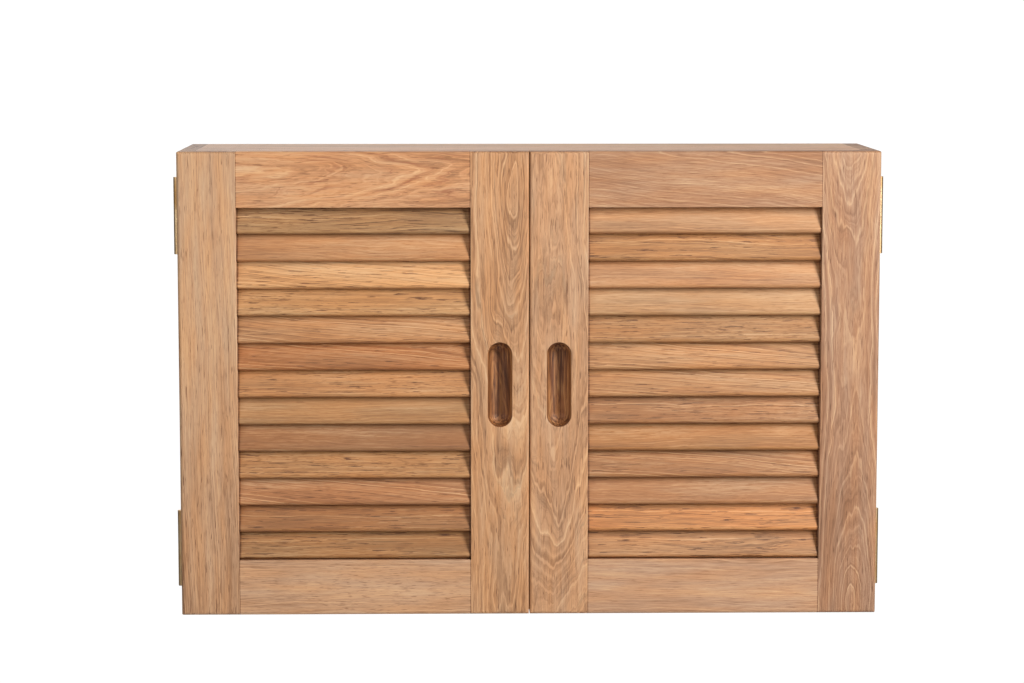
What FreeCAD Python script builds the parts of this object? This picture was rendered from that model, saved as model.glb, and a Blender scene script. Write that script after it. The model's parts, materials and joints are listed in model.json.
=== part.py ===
"""Hanging wall cabinet with two louvred doors, in millimetres.

The wall is the plane y = 0 and the doors face -Y. +Z is up, +X runs to the right of someone facing
the cabinet. The origin is midway between the two wall screws, on the wall plane.
Every piece of the right-hand half is drawn first, and the left-hand half is its mirror image.
"""
import FreeCAD, Part
import math
import os

Vector = FreeCAD.Vector
RIGHT = Vector(1, 0, 0)
TO_WALL = Vector(0, 1, 0)
UP = Vector(0, 0, 1)

# ---- The whole cabinet
CABINET_WIDTH = 690.0
CABINET_HEIGHT = 460.0
CABINET_DEPTH = 165.0           # wall to the face of the closed doors

# ---- Carcass boards
BOARD = 18.0                    # sides, top and bottom
CORNER_EASE = 2.0               # rounding along the outer corners of the carcass and the doors
BACK_THICKNESS = 6.0
REBATE_WIDTH = 9.0              # how far the back panel laps onto the boards around it
PANEL_PLAY = 0.3                # room around the back panel in its rebates
SHELF_THICKNESS = 15.0
SHELF_SETBACK = 16.0            # shelf edge behind the front edge of the carcass
SHELF_HOUSING = 6.0             # depth of the housings that hold the shelf's ends
HANGER_HEIGHT = 60.0
HANGER_THICKNESS = 18.0
WALL_SCREW_SPACING = 406.0      # two studs at sixteen inches
WALL_SCREW_HOLE_RADIUS = 2.75
WALL_SCREW_HEAD_RADIUS = 5.5

# ---- Dowels between the boards
DOWEL_RADIUS = 4.0
DOWEL_LENGTH = 30.0
DOWEL_COVER = 6.0               # wood left between a dowel hole and the outer face of the side
DOWEL_INSET = 28.0              # outermost dowels from the front and back edges
HANGER_DOWEL_SPACING = 30.0
GLUE_GAP = 1.0                  # empty space past the end of a dowel or a tenon

# ---- Doors
DOOR_THICKNESS = 22.0
DOOR_GAP = 0.8                  # between the two doors
STILE_WIDTH = 57.5
RAIL_HEIGHT = 55.0
FRONT_ARRIS = 3.5               # rounding of the front edges around the pair of doors
MEETING_ARRIS = 2.5             # rounding of the two edges that meet
OPENING_ARRIS = 0.8             # rounding of the edges around the slats
TENON_THICKNESS = 8.0
TENON_LENGTH = 30.0
TENON_SHOULDER = 12.0           # rail left above and below a tenon

# ---- Slats
SLAT_COUNT = 13
SLAT_THICKNESS = 7.0
SLAT_OVERLAP = 5.0              # how far each slat rises behind the foot of the next one
SLAT_FRONT_RECESS = 1.0         # lower front corner behind the face of the door
SLAT_BACK_RECESS = 1.8          # upper back corner in front of the back of the door
SLAT_FOOT_GAP = 0.2             # under the lowest slat
SLAT_NOSE = 3.0                 # rounding of the lower front edge
SLAT_EDGE = 1.5                 # rounding of the other three long edges
SLAT_HOUSING = 8.0              # depth of the pockets that hold the slats' ends
SLAT_FIT = 0.1                  # room around a slat in its pocket

# ---- Finger pulls
PULL_WIDTH = 24.0
PULL_LENGTH = 84.0
PULL_FLOOR = 6.0                # wood left behind the deepest point
PULL_EASE = 0.8

# ---- Butt hinges
HINGE_LENGTH = 76.0             # three inches
HINGE_INSET = 26.0              # from the top and bottom of the door
HINGE_GAP = 1.6                 # between the back of the door and the front of the carcass
KNUCKLES = 5
KNUCKLE_RADIUS = 3.25
KNUCKLE_OFFSET = 1.75           # hinge axis outside the side of the cabinet
KNUCKLE_GAP = 0.2               # along the axis, between neighbouring knuckles
KNUCKLE_ROOM = 0.35             # around the knuckles, to the wood and to the other leaf
LEAF_THICKNESS = 2.0
LEAF_SPACE = 0.4                # between the closed leaves
LEAF_MARGIN = 1.75              # leaf edge from the inner face of the side
PIN_RADIUS = 1.5
PIN_CLEARANCE = 0.05            # in the knuckles of the door leaf

# ---- Countersunk slotted screws, one size throughout
SCREW_LENGTH = 16.0
SCREW_SHANK_RADIUS = 1.5
SCREW_HEAD_RADIUS = 3.5
SCREW_POINT = 3.0
SCREW_SLOT = 0.9                # width and depth of the slot
SCREW_ROOM = 0.1                # around the shank and past the point
SCREW_SPACING = 27.0            # between the three screws of a leaf
SCREW_STAGGER = 1.5             # middle screw towards the knuckles, outer ones away from them

# ---- Magnetic catches
CATCH_WIDTH = 30.0
CATCH_HEIGHT = 14.0
CATCH_DEPTH = 16.0
CATCH_EAR = 8.0
CATCH_EAR_THICKNESS = 3.0
CATCH_EAR_DEPTH = 12.0
CATCH_ROUNDING = 1.5
CATCH_GAP = 0.3                 # between the magnet and the strike
MAGNET_WIDTH = 22.0
MAGNET_HEIGHT = 8.0
MAGNET_DEPTH = 10.0
STRIKE_WIDTH = 38.0
STRIKE_HEIGHT = 12.0
STRIKE_THICKNESS = 1.0
STRIKE_SCREW_INSET = 5.0

# ---- Planes that follow from the sizes above
TOP = BOARD + HANGER_HEIGHT / 2
BOTTOM = TOP - CABINET_HEIGHT
MIDDLE = (TOP + BOTTOM) / 2
INSIDE_TOP = TOP - BOARD
INSIDE_BOTTOM = BOTTOM + BOARD
SIDE = CABINET_WIDTH / 2
INSIDE = SIDE - BOARD
DOOR_FACE = -CABINET_DEPTH
DOOR_BACK = DOOR_FACE + DOOR_THICKNESS
CARCASS_FRONT = DOOR_BACK + HINGE_GAP
BACK_FACE = -BACK_THICKNESS
HANGER_FACE = BACK_FACE - HANGER_THICKNESS
SHELF_FRONT = CARCASS_FRONT + SHELF_SETBACK

MEETING_EDGE = DOOR_GAP / 2
OPENING_LEFT = MEETING_EDGE + STILE_WIDTH
OPENING_RIGHT = SIDE - STILE_WIDTH
OPENING_TOP = TOP - RAIL_HEIGHT
OPENING_BOTTOM = BOTTOM + RAIL_HEIGHT
STILE_CENTRE = MEETING_EDGE + STILE_WIDTH / 2

AXIS_X = SIDE + KNUCKLE_OFFSET
AXIS_Y = (DOOR_BACK + CARCASS_FRONT) / 2
LEAF_EDGE = INSIDE + LEAF_MARGIN
SCREW_LINE = (LEAF_EDGE + AXIS_X - KNUCKLE_RADIUS - KNUCKLE_ROOM) / 2
SCREW_HEAD_DEPTH = SCREW_HEAD_RADIUS - SCREW_SHANK_RADIUS
HINGE_FEET = {"upper": TOP - HINGE_INSET - HINGE_LENGTH, "lower": BOTTOM + HINGE_INSET}

STRIKE_FACE = DOOR_BACK + STRIKE_THICKNESS
CATCH_FRONT = STRIKE_FACE + CATCH_GAP
CATCH_MIDDLE = INSIDE_TOP - CATCH_HEIGHT / 2


def block(x_planes, y_planes, z_planes):
    """Rectangular block between three pairs of planes."""
    (x0, x1), (y0, y1), (z0, z1) = x_planes, y_planes, z_planes
    return Part.makeBox(x1 - x0, y1 - y0, z1 - z0, Vector(x0, y0, z0))


def joined(shapes):
    """One solid from shapes that touch or overlap."""
    first, *rest = shapes
    return first.fuse(rest).removeSplitter()


def mirrored(shape):
    """The same piece on the left-hand side."""
    return shape.mirror(Vector(0, 0, 0), RIGHT)


def round_over(start, end, inward_a, inward_b, radius):
    """Waste that rounds a straight edge whose two faces run inward_a and inward_b from it."""
    near_a = start + inward_a * radius
    near_b = start + inward_b * radius
    centre = near_a + inward_b * radius
    outward = (start - centre).normalize()
    outline = Part.Wire([
        Part.makeLine(start, near_a),
        Part.Arc(near_a, centre + outward * radius, near_b).toShape(),
        Part.makeLine(near_b, start),
    ])
    return Part.Face(outline).extrude(end - start)


def rounded_outline(corners, radii):
    """Closed wire through the corners, each one rounded to its own radius."""
    edges = []
    ends = []
    for index, corner in enumerate(corners):
        back = (corners[index - 1] - corner).normalize()
        ahead = (corners[(index + 1) % len(corners)] - corner).normalize()
        half_angle = back.getAngle(ahead) / 2
        setback = radii[index] / math.tan(half_angle)
        to_centre = (back + ahead).normalize()
        nearest = corner + to_centre * (radii[index] / math.sin(half_angle) - radii[index])
        ends.append((corner + back * setback, corner + ahead * setback))
        edges.append(Part.Arc(ends[-1][0], nearest, ends[-1][1]).toShape())
        if index:
            edges.append(Part.makeLine(ends[index - 1][1], ends[index][0]))
    edges.append(Part.makeLine(ends[-1][1], ends[0][0]))
    return Part.Wire(Part.__sortEdges__(edges))


# ---- Screws

def screw_at(head, direction, shank_radius, length):
    """Countersunk screw body with its head flush at one point, running along a direction."""
    shank_end = length - SCREW_POINT
    return joined([
        Part.makeCone(SCREW_HEAD_RADIUS, SCREW_SHANK_RADIUS, SCREW_HEAD_DEPTH, head, direction),
        Part.makeCylinder(shank_radius, shank_end - SCREW_HEAD_DEPTH,
                          head + direction * SCREW_HEAD_DEPTH, direction),
        Part.makeCone(shank_radius, shank_radius / 5, SCREW_POINT, head + direction * shank_end, direction),
    ])


def screw(head, direction):
    """A screw with its slot cut across the head."""
    slot_along = UP if abs(direction.z) < 0.5 else RIGHT
    slot_across = direction.cross(slot_along)
    half = slot_along * SCREW_HEAD_RADIUS + slot_across * (SCREW_SLOT / 2) + direction * SCREW_SLOT
    low = head - slot_along * SCREW_HEAD_RADIUS - slot_across * (SCREW_SLOT / 2)
    slot = block(*(sorted(pair) for pair in zip(low, head + half)))
    return screw_at(head, direction, SCREW_SHANK_RADIUS, SCREW_LENGTH).cut(slot)


def screw_hole(head, direction):
    """The countersunk pilot hole that takes the screw."""
    return screw_at(head, direction, SCREW_SHANK_RADIUS + SCREW_ROOM, SCREW_LENGTH + SCREW_ROOM)


def leaf_screw_heads(foot, into):
    """Head positions of the three screws of one hinge leaf; into is +1 for the carcass, -1 for the door."""
    face = AXIS_Y + into * LEAF_SPACE / 2
    middle = foot + HINGE_LENGTH / 2
    return [Vector(SCREW_LINE + (SCREW_STAGGER if step == 0 else -SCREW_STAGGER), face,
                   middle + step * SCREW_SPACING) for step in (-1, 0, 1)]


def strike_screw_heads():
    """Head positions of the two screws of the right-hand strike."""
    reach = STRIKE_WIDTH / 2 - STRIKE_SCREW_INSET
    return [Vector(STILE_CENTRE + step * reach, STRIKE_FACE, CATCH_MIDDLE) for step in (-1, 1)]


def catch_screw_heads():
    """Head positions of the two screws of the right-hand catch."""
    reach = (CATCH_WIDTH + CATCH_EAR) / 2
    return [Vector(STILE_CENTRE + step * reach, CATCH_FRONT + CATCH_DEPTH / 2,
                   INSIDE_TOP - CATCH_EAR_THICKNESS) for step in (-1, 1)]


def right_carcass_screws():
    """Every screw place in the right half of the carcass, as head and direction."""
    places = [(head, TO_WALL) for foot in HINGE_FEET.values() for head in leaf_screw_heads(foot, 1)]
    return places + [(head, UP) for head in catch_screw_heads()]


def right_door_screws():
    """Every screw place in the right-hand door, as head and direction."""
    places = [(head, -TO_WALL) for foot in HINGE_FEET.values() for head in leaf_screw_heads(foot, -1)]
    return places + [(head, -TO_WALL) for head in strike_screw_heads()]


# ---- Hinges

def knuckle_span(foot, index):
    """Lower and upper end of one knuckle."""
    pitch = HINGE_LENGTH / KNUCKLES
    low = foot + index * pitch + (KNUCKLE_GAP / 2 if index else 0)
    high = foot + (index + 1) * pitch - (KNUCKLE_GAP / 2 if index < KNUCKLES - 1 else 0)
    return low, high


def leaf_planes(into):
    """The two faces of a closed leaf, nearest the wall last."""
    return sorted(AXIS_Y + into * distance
                  for distance in (LEAF_SPACE / 2, LEAF_SPACE / 2 + LEAF_THICKNESS))


def hinge_leaf(foot, into):
    """One leaf with its knuckles; the carcass leaf has the odd ones and the door leaf the even ones."""
    own = range(0 if into > 0 else 1, KNUCKLES, 2)
    bore = PIN_RADIUS + (0 if into > 0 else PIN_CLEARANCE)
    plate_end = AXIS_X - KNUCKLE_RADIUS - KNUCKLE_ROOM
    pieces = [block((LEAF_EDGE, plate_end), leaf_planes(into), (foot, foot + HINGE_LENGTH))]
    for index in own:
        low, high = knuckle_span(foot, index)
        pieces.append(block((plate_end, AXIS_X), leaf_planes(into), (low, high)))
        pieces.append(Part.makeCylinder(KNUCKLE_RADIUS, high - low, Vector(AXIS_X, AXIS_Y, low), UP))
    leaf = joined(pieces)
    leaf = leaf.cut(Part.makeCylinder(bore, HINGE_LENGTH, Vector(AXIS_X, AXIS_Y, foot), UP))
    return leaf.cut([screw_hole(head, TO_WALL * into) for head in leaf_screw_heads(foot, into)])


def hinge_pin(foot):
    """The pin, as long as the hinge and flush with its ends."""
    return Part.makeCylinder(PIN_RADIUS, HINGE_LENGTH, Vector(AXIS_X, AXIS_Y, foot), UP)


def hinge_gain(foot, into):
    """Waste cut from the wood for one leaf and for the knuckles."""
    wood_face, gain_floor = AXIS_Y + into * HINGE_GAP / 2, AXIS_Y + into * (LEAF_SPACE / 2 + LEAF_THICKNESS)
    recess = block((LEAF_EDGE, SIDE), sorted((wood_face, gain_floor)), (foot, foot + HINGE_LENGTH))
    hollow = Part.makeCylinder(KNUCKLE_RADIUS + KNUCKLE_ROOM, HINGE_LENGTH + 2 * KNUCKLE_ROOM,
                               Vector(AXIS_X, AXIS_Y, foot - KNUCKLE_ROOM), UP)
    return recess.fuse(hollow)


# ---- Slats

def slat_tilt(rise, reach):
    """Lean from upright at which a slat that rises this much fills the reach through the door."""
    lean = math.atan2(reach - SLAT_THICKNESS, rise)
    for _ in range(40):
        lean = math.atan2(reach - SLAT_THICKNESS * math.cos(lean), rise)
    return lean


SLAT_PITCH = (OPENING_TOP - OPENING_BOTTOM) / SLAT_COUNT
SLAT_RISE = SLAT_PITCH + SLAT_OVERLAP
SLAT_LEAN = slat_tilt(SLAT_RISE, DOOR_THICKNESS - SLAT_FRONT_RECESS - SLAT_BACK_RECESS)
SLAT_UP = Vector(0, math.sin(SLAT_LEAN), math.cos(SLAT_LEAN))
SLAT_THROUGH = Vector(0, math.cos(SLAT_LEAN), -math.sin(SLAT_LEAN))


def slat(number, grow, x_planes):
    """Slat counted from the top, grown all round by a clearance, between two planes."""
    foot = OPENING_BOTTOM + SLAT_FOOT_GAP + SLAT_THICKNESS * math.sin(SLAT_LEAN)
    corner = Vector(x_planes[0], DOOR_FACE + SLAT_FRONT_RECESS, foot + (SLAT_COUNT - number) * SLAT_PITCH)
    corner = corner - (SLAT_UP + SLAT_THROUGH) * grow
    width = SLAT_UP * (SLAT_RISE / math.cos(SLAT_LEAN) + 2 * grow)
    through = SLAT_THROUGH * (SLAT_THICKNESS + 2 * grow)
    outline = rounded_outline([corner, corner + width, corner + width + through, corner + through],
                              [SLAT_NOSE + grow] + [SLAT_EDGE + grow] * 3)
    return Part.Face(outline).extrude(RIGHT * (x_planes[1] - x_planes[0]))


def slat_pocket(number):
    """Room for one slat, as far as it reaches into both stiles."""
    return slat(number, SLAT_FIT, (OPENING_LEFT - SLAT_HOUSING, OPENING_RIGHT + SLAT_HOUSING))


def right_slat(number):
    """One louvre slat of the right-hand door."""
    reach = SLAT_HOUSING - SLAT_FIT
    return slat(number, 0, (OPENING_LEFT - reach, OPENING_RIGHT + reach))


# ---- Door frames

def tenon_planes(rail_foot):
    """Height and thickness planes shared by a tenon and its mortise."""
    cheek = (DOOR_THICKNESS - TENON_THICKNESS) / 2
    return ((DOOR_FACE + cheek, DOOR_BACK - cheek),
            (rail_foot + TENON_SHOULDER, rail_foot + RAIL_HEIGHT - TENON_SHOULDER))


def stile(x_planes, outer_x, inner_x, outer_arris):
    """A stile with its eased edges, mortises and slat pockets."""
    outward = RIGHT if outer_x > inner_x else -RIGHT
    waste = []
    for x, arris, low, high in ((outer_x, outer_arris, BOTTOM, TOP),
                                (inner_x, OPENING_ARRIS, OPENING_BOTTOM, OPENING_TOP)):
        inward = -outward if x == outer_x else outward
        waste.append(round_over(Vector(x, DOOR_FACE, low), Vector(x, DOOR_FACE, high),
                                inward, TO_WALL, arris))
    for z, inward in ((TOP, -UP), (BOTTOM, UP)):
        waste.append(round_over(Vector(x_planes[0], DOOR_FACE, z), Vector(x_planes[1], DOOR_FACE, z),
                                inward, TO_WALL, FRONT_ARRIS))
    deep = outward * (TENON_LENGTH + GLUE_GAP)
    for rail_foot in (OPENING_TOP, BOTTOM):
        mortise_x = sorted((inner_x, inner_x + deep.x))
        waste.append(block(mortise_x, *tenon_planes(rail_foot)))
    waste += [slat_pocket(number) for number in range(1, SLAT_COUNT + 1)]
    return block(x_planes, (DOOR_FACE, DOOR_BACK), (BOTTOM, TOP)).cut(waste)


def right_outer_stile():
    """The stile that carries the hinges."""
    body = stile((OPENING_RIGHT, SIDE), SIDE, OPENING_RIGHT, FRONT_ARRIS)
    waste = [round_over(Vector(SIDE, DOOR_FACE, z), Vector(SIDE, DOOR_BACK, z), -RIGHT, inward, CORNER_EASE)
             for z, inward in ((TOP, -UP), (BOTTOM, UP))]
    waste += [hinge_gain(foot, -1) for foot in HINGE_FEET.values()]
    waste += [screw_hole(*place) for place in right_door_screws()]
    return body.cut(waste)


def right_meeting_stile():
    """The stile beside the other door, with its finger pull."""
    body = stile((MEETING_EDGE, OPENING_LEFT), MEETING_EDGE, OPENING_LEFT, MEETING_ARRIS)
    body = body.cut([finger_pull()] + [screw_hole(*place) for place in right_door_screws()])
    mouth = [edge for edge in body.Edges
             if abs(edge.BoundBox.YMin - DOOR_FACE) < 1e-6 and edge.BoundBox.YLength < 1e-6
             and abs(edge.BoundBox.Center.x - STILE_CENTRE) < PULL_WIDTH / 2 + 1e-6
             and abs(edge.BoundBox.Center.z - MIDDLE) < PULL_LENGTH / 2 + 1e-6
             and edge.BoundBox.DiagonalLength < PULL_LENGTH]
    return body.makeFillet(PULL_EASE, mouth)


def finger_pull():
    """Upright groove with round ends and a round bottom, as a core-box cutter leaves it."""
    radius = PULL_WIDTH / 2
    half = PULL_LENGTH / 2 - radius
    floor = DOOR_BACK - PULL_FLOOR
    spring = floor - radius
    ends = [Vector(STILE_CENTRE, spring, MIDDLE + step * half) for step in (-1, 1)]
    left, right = ends[0] - RIGHT * radius, ends[0] + RIGHT * radius
    trough = Part.Wire([
        Part.makeLine(right, left),
        Part.Arc(left, Vector(STILE_CENTRE, floor, ends[0].z), right).toShape(),
    ])
    shapes = [Part.Face(trough).extrude(UP * (2 * half))]
    shapes += [Part.makeSphere(radius, end, TO_WALL, 0, 90, 360) for end in ends]
    shapes.append(block((left.x, right.x), (DOOR_FACE - 1, spring), (ends[0].z, ends[1].z)))
    shapes += [Part.makeCylinder(radius, spring - DOOR_FACE + 1, end - TO_WALL * (spring - DOOR_FACE + 1),
                                 TO_WALL) for end in ends]
    return joined(shapes)


def right_rail(foot, outer_z, inner_z):
    """A rail with a tenon on each end."""
    body = block((OPENING_LEFT, OPENING_RIGHT), (DOOR_FACE, DOOR_BACK), (foot, foot + RAIL_HEIGHT))
    waste = []
    for z, arris in ((outer_z, FRONT_ARRIS), (inner_z, OPENING_ARRIS)):
        inward = UP if z == foot else -UP
        waste.append(round_over(Vector(OPENING_LEFT, DOOR_FACE, z), Vector(OPENING_RIGHT, DOOR_FACE, z),
                                inward, TO_WALL, arris))
    tenon = block((OPENING_LEFT - TENON_LENGTH, OPENING_RIGHT + TENON_LENGTH), *tenon_planes(foot))
    waste += [slat_pocket(1)]
    waste += [screw_hole(*place) for place in right_door_screws()]
    return joined([body, tenon]).cut(waste)


# ---- Carcass

def dowel_places():
    """Centre and heading of every dowel of the right-hand side, heading into the side."""
    depths = (CARCASS_FRONT + DOWEL_INSET, CARCASS_FRONT / 2, -DOWEL_INSET)
    places = [(y, z) for z in (TOP - BOARD / 2, BOTTOM + BOARD / 2) for y in depths]
    hanger_y = (HANGER_FACE + BACK_FACE) / 2
    return places + [(hanger_y, step * HANGER_DOWEL_SPACING / 2) for step in (-1, 1)]


def right_dowels(extra):
    """The dowels, or with extra length at both ends, their holes."""
    start = SIDE - DOWEL_COVER - DOWEL_LENGTH - extra
    length = DOWEL_LENGTH + 2 * extra
    return [Part.makeCylinder(DOWEL_RADIUS, length, Vector(start, y, z), RIGHT) for y, z in dowel_places()]


def both_dowel_holes():
    """The dowel holes of both sides."""
    holes = right_dowels(GLUE_GAP)
    return holes + [mirrored(hole) for hole in holes]


def back_rebate(play):
    """Space of the back panel, less a play all round."""
    half = INSIDE + REBATE_WIDTH - play
    return block((-half, half), (BACK_FACE, 0),
                 (INSIDE_BOTTOM - REBATE_WIDTH + play, INSIDE_TOP + REBATE_WIDTH - play))


def shelf_board():
    """The fixed shelf, with its ends in the sides."""
    half = INSIDE + SHELF_HOUSING
    middle = (INSIDE_TOP + INSIDE_BOTTOM) / 2
    return block((-half, half), (SHELF_FRONT, BACK_FACE),
                 (middle - SHELF_THICKNESS / 2, middle + SHELF_THICKNESS / 2))


def wall_screw_holes():
    """The two countersunk holes that hang the cabinet."""
    holes = []
    head_depth = WALL_SCREW_HEAD_RADIUS - WALL_SCREW_HOLE_RADIUS
    for step in (-1, 1):
        start = Vector(step * WALL_SCREW_SPACING / 2, HANGER_FACE, 0)
        holes.append(Part.makeCone(WALL_SCREW_HEAD_RADIUS, WALL_SCREW_HOLE_RADIUS, head_depth,
                                   start, TO_WALL))
        holes.append(Part.makeCylinder(WALL_SCREW_HOLE_RADIUS, -HANGER_FACE, start, TO_WALL))
    return holes


def right_side_panel():
    """A full-height side with its housings, holes and hinge gains."""
    body = block((INSIDE, SIDE), (CARCASS_FRONT, 0), (BOTTOM, TOP))
    waste = [round_over(Vector(SIDE, CARCASS_FRONT, z), Vector(SIDE, 0, z), -RIGHT, inward, CORNER_EASE)
             for z, inward in ((TOP, -UP), (BOTTOM, UP))]
    waste += [back_rebate(0), shelf_board()] + right_dowels(GLUE_GAP)
    waste += [hinge_gain(foot, 1) for foot in HINGE_FEET.values()]
    waste += [screw_hole(*place) for place in right_carcass_screws()]
    return body.cut(waste)


def cross_board(z_planes):
    """The top or the bottom, between the sides."""
    waste = [back_rebate(0)] + both_dowel_holes()
    for head in catch_screw_heads():
        waste += [screw_hole(head, UP), mirrored(screw_hole(head, UP))]
    return block((-INSIDE, INSIDE), (CARCASS_FRONT, 0), z_planes).cut(waste)


def hanging_rail():
    """The board that the wall screws pull against the wall."""
    body = block((-INSIDE, INSIDE), (HANGER_FACE, BACK_FACE), (INSIDE_TOP - HANGER_HEIGHT, INSIDE_TOP))
    return body.cut(both_dowel_holes() + wall_screw_holes())


# ---- Catches

def magnet():
    """Magnet of the right-hand catch, level with the front of its housing."""
    return block((STILE_CENTRE - MAGNET_WIDTH / 2, STILE_CENTRE + MAGNET_WIDTH / 2),
                 (CATCH_FRONT, CATCH_FRONT + MAGNET_DEPTH),
                 (CATCH_MIDDLE - MAGNET_HEIGHT / 2, CATCH_MIDDLE + MAGNET_HEIGHT / 2))


def right_catch():
    """Housing of the catch, with two screw ears against the underside of the top."""
    half = CATCH_WIDTH / 2
    case = block((STILE_CENTRE - half, STILE_CENTRE + half), (CATCH_FRONT, CATCH_FRONT + CATCH_DEPTH),
                 (INSIDE_TOP - CATCH_HEIGHT, INSIDE_TOP))
    lower = [edge for edge in case.Edges
             if edge.BoundBox.ZMax < INSIDE_TOP - 1e-6 and edge.BoundBox.YMin > CATCH_FRONT - 1e-6
             and edge.BoundBox.YLength > 1e-6]
    case = case.makeFillet(CATCH_ROUNDING, lower)
    ears = block((STILE_CENTRE - half - CATCH_EAR, STILE_CENTRE + half + CATCH_EAR),
                 (CATCH_FRONT + (CATCH_DEPTH - CATCH_EAR_DEPTH) / 2,
                  CATCH_FRONT + (CATCH_DEPTH + CATCH_EAR_DEPTH) / 2),
                 (INSIDE_TOP - CATCH_EAR_THICKNESS, INSIDE_TOP))
    return joined([case, ears]).cut([magnet()] + [screw_hole(head, UP) for head in catch_screw_heads()])


def right_strike():
    """Steel plate on the back of the door, facing the magnet."""
    plate = block((STILE_CENTRE - STRIKE_WIDTH / 2, STILE_CENTRE + STRIKE_WIDTH / 2),
                  (DOOR_BACK, STRIKE_FACE),
                  (CATCH_MIDDLE - STRIKE_HEIGHT / 2, CATCH_MIDDLE + STRIKE_HEIGHT / 2))
    return plate.cut([screw_hole(head, -TO_WALL) for head in strike_screw_heads()])


# ---- The pieces by name

def on_both_sides(pieces):
    """Right-hand pieces and their mirror images, with right_ or left_ before each name."""
    named = {}
    for name, shape in pieces.items():
        named["right_" + name] = shape
        named["left_" + name] = mirrored(shape)
    return named


def group(shapes):
    """Separate solids that share one name."""
    return Part.makeCompound(shapes)


def door_pieces():
    """The pieces of the right-hand door."""
    pieces = {
        "outer_stile": right_outer_stile(),
        "meeting_stile": right_meeting_stile(),
        "top_rail": right_rail(OPENING_TOP, TOP, OPENING_TOP),
        "bottom_rail": right_rail(BOTTOM, BOTTOM, OPENING_BOTTOM),
        "strike": right_strike(),
        "door_screws": group([screw(*place) for place in right_door_screws()]),
    }
    for number in range(1, SLAT_COUNT + 1):
        pieces["slat_%02d" % number] = right_slat(number)
    for level, foot in HINGE_FEET.items():
        pieces[level + "_door_leaf"] = hinge_leaf(foot, -1)
    return pieces


def carcass_pieces():
    """The boards, dowels, hinge halves and catches that stay on the wall."""
    paired = {"side_panel": right_side_panel(), "catch": right_catch()}
    for level, foot in HINGE_FEET.items():
        paired[level + "_carcass_leaf"] = hinge_leaf(foot, 1)
    pieces = on_both_sides(paired)
    pieces["top_panel"] = cross_board((INSIDE_TOP, TOP))
    pieces["bottom_panel"] = cross_board((BOTTOM, INSIDE_BOTTOM))
    pieces["back_panel"] = back_rebate(PANEL_PLAY).cut(wall_screw_holes())
    pieces["shelf"] = shelf_board()
    pieces["hanging_rail"] = hanging_rail()
    groups = {
        "carcass_dowels": right_dowels(0),
        "catch_magnets": [magnet()],
        "hinge_pins": [hinge_pin(foot) for foot in HINGE_FEET.values()],
        "carcass_screws": [screw(*place) for place in right_carcass_screws()],
    }
    for name, shapes in groups.items():
        pieces[name] = group(shapes + [mirrored(shape) for shape in shapes])
    return pieces


os.makedirs("parts", exist_ok=True)
all_pieces = {**carcass_pieces(), **on_both_sides(door_pieces())}
for name, shape in sorted(all_pieces.items()):
    shape.exportStep("parts/%s.step" % name)
    print("%-28s %d solids, %.1f cm3" % (name, len(shape.Solids), shape.Volume / 1000))
print("%d pieces, slats lean %.1f degrees" % (len(all_pieces), math.degrees(SLAT_LEAN)))
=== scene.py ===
# %% [markdown]
# # A hanging wall cabinet with louvred doors, in oiled teak
#
# The real cabinet is a shallow box of solid teak boards, with two doors that cover its whole front.
# Each door is a mortised frame, and thirteen thin slats lean in it like the slats of a shutter.
# The joinery was drawn as a CAD model, so every board is already there, in metres, where it belongs.
# What this lesson adds is what a drawing doesn't have: the wood itself, the metals, the light and a view.

# %% Load the joiner's model
import json
import math

import bpy
from mathutils import Euler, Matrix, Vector


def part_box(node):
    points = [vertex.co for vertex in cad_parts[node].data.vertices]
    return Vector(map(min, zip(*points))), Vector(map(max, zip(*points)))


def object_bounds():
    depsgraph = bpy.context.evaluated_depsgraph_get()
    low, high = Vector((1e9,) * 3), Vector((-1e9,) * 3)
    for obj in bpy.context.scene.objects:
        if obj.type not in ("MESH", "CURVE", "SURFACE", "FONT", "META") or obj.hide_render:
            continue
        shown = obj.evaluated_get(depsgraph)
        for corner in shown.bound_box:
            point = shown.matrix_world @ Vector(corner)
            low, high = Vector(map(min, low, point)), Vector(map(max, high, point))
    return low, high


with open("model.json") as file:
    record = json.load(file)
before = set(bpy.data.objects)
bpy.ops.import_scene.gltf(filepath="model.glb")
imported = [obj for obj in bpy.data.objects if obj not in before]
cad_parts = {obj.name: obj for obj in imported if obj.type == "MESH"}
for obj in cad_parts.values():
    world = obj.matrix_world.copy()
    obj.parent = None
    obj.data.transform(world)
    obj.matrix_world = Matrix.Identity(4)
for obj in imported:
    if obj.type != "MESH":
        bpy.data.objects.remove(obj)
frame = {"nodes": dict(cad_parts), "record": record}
pieces = frame["nodes"]
drawn_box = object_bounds()

# %% [markdown]
# ## Four small tools
#
# Colours are written as the hex values that a colour picker gives. A renderer adds light, so it needs them
# in linear values, and one function turns them. Another mixes two of them, as a painter does on a palette.
# A material is a network of nodes. The third function starts one with an empty network. The last one adds
# one node, sets it up and joins its inputs, so that each line of a material reads like a step of a recipe.
# An input goes by its name or, to keep a line short, by its number. In a Map Range, 1 and 2 are the range
# that comes in, 3 and 4 the one that goes out. In a Multiply Add, 0 is multiplied by 1 and then 2 is added.
# In a Mix, 0 is the share, and 6 and 7 are the two colours.

# %% Colour and node helpers


def linear(hex_value):
    """The linear red, green, blue and alpha of a colour written as #RRGGBB."""
    channels = [int(hex_value[i : i + 2], 16) / 255 for i in (1, 3, 5)]
    turned = [c / 12.92 if c <= 0.04045 else ((c + 0.055) / 1.055) ** 2.4 for c in channels]
    return (*turned, 1.0)


def between(first, second, share):
    """The hex colour that lies a share of the way from the first colour to the second."""
    pairs = [(int(first[i : i + 2], 16), int(second[i : i + 2], 16)) for i in (1, 3, 5)]
    return "#" + "".join(f"{round(a + (b - a) * share):02X}" for a, b in pairs)


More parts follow.
